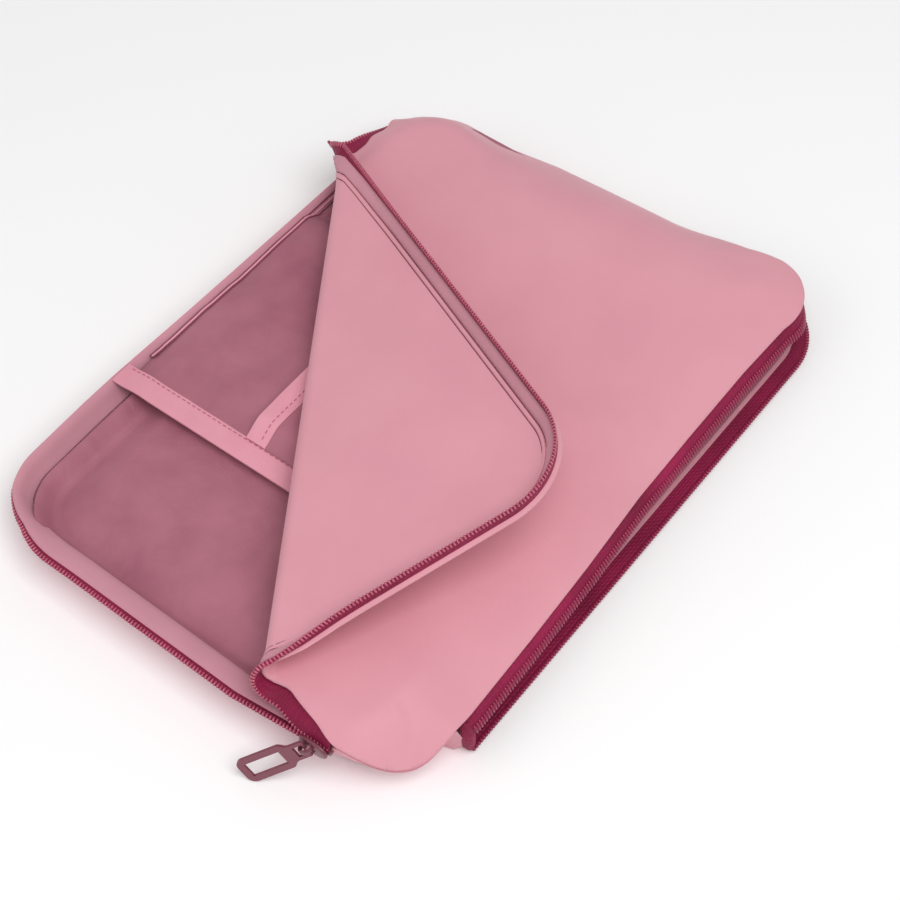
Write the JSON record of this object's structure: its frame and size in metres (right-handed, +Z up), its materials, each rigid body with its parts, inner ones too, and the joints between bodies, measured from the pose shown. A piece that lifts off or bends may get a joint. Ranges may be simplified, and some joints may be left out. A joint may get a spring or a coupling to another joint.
{
  "type": "laptop sleeve",
  "caption": "Padded zip laptop sleeve with a fold-back front panel, slip pockets inside and a laptop mouth along one long edge.",
  "frame": {"origin": "centre of the underside of the back panel, on the surface it lies on", "axes": "+Z up through the front panel, +X along the long side towards the end where the front zipper's slider is parked, +Y towards the long edge with the laptop mouth"},
  "size_m": [0.4049, 0.2676, 0.0962],
  "materials": {
    "neoprene": "fine jersey over foam rubber, matt with a soft sheen",
    "facing": "matt jersey",
    "lining": "satin woven lining",
    "binding": "grosgrain binding, stitched",
    "zip_tape": "woven polyester tape",
    "zip_coil": "nylon coil, slightly glossy",
    "slider_metal": "satin burgundy lacquer",
    "pull_coating": "satin burgundy lacquer"
  },
  "bodies": {
    "sleeve": {"back_panel": "neoprene", "wall_slider_end": "neoprene", "wall_corner_base_slider": "neoprene", "wall_base": "neoprene", "wall_corner_base_far": "neoprene", "wall_far_end": "neoprene", "wall_corner_mouth_slider": "neoprene", "laptop_lining": "lining", "divider_board": "lining", "divider_skirt_slider_end": "lining", "divider_skirt_corner": "lining", "divider_skirt_base": "lining", "mouth_closing_strip": "neoprene", "rim_facing": "facing", "tablet_pocket_panel": "lining", "tablet_pocket_pleat_mouth": "lining", "tablet_pocket_pleat_end": "lining", "tablet_pocket_pleat_base": "lining", "tablet_pocket_binding": "binding", "phone_pocket_panel": "lining", "phone_pocket_pleat_near": "lining", "phone_pocket_pleat_far": "lining", "phone_pocket_pleat_end": "lining", "phone_pocket_binding": "binding", "front_panel": "neoprene", "fold_roll": "neoprene", "front_zip_tape_lower": "zip_tape", "front_zip_coil_lower": "zip_coil", "front_zip_tape_fixed": "zip_tape", "front_zip_coil_fixed": "zip_coil", "front_zip_stops": "slider_metal", "laptop_zip_tape_upper": "zip_tape", "laptop_zip_coil_upper": "zip_coil", "laptop_zip_tape_lower": "zip_tape", "laptop_zip_coil_lower": "zip_coil", "laptop_zip_coil_closed": "zip_coil", "laptop_zip_tape_closed": "zip_tape", "laptop_zip_stops": "slider_metal"},
    "flap": {"front_flap": "neoprene", "flap_facing": "facing", "front_zip_tape_flap": "zip_tape", "front_zip_coil_flap": "zip_coil"},
    "front_slider": {"front_slider_body": "slider_metal", "front_slider_bridge": "slider_metal"},
    "front_pull": {"front_zip_pull": "pull_coating"},
    "laptop_slider": {"laptop_slider_body": "slider_metal", "laptop_slider_bridge": "slider_metal"},
    "laptop_pull": {"laptop_zip_pull": "pull_coating"}
  },
  "joints": [
    {"name": "flap_fold", "type": "hinge", "parent": "sleeve", "child": "flap", "pos_m": [0.03001, -0.04728, 0.0432], "axis": [0.8443, 0.5358, 0], "range_deg": [-5, 165], "deforming": ["fold_roll"]},
    {"name": "front_slider_run", "type": "slide", "parent": "sleeve", "child": "front_slider", "axis": [0, -1, 0], "range_m": [0, 0.16]},
    {"name": "front_pull_swing", "type": "hinge", "parent": "front_slider", "child": "front_pull", "pos_m": [0.1897, 0.0805, 0.0252], "axis": [0.1201, -0.6005, 0.7906], "range_deg": [0, 125]},
    {"name": "laptop_slider_run", "type": "slide", "parent": "sleeve", "child": "laptop_slider", "axis": [0, -1, 0], "range_m": [0, 0.044]},
    {"name": "laptop_pull_swing", "type": "hinge", "parent": "laptop_slider", "child": "laptop_pull", "pos_m": [-0.1918, 0.087, 0.0056], "axis": [0, 0, -1], "range_deg": [0, 100]}
  ]
}
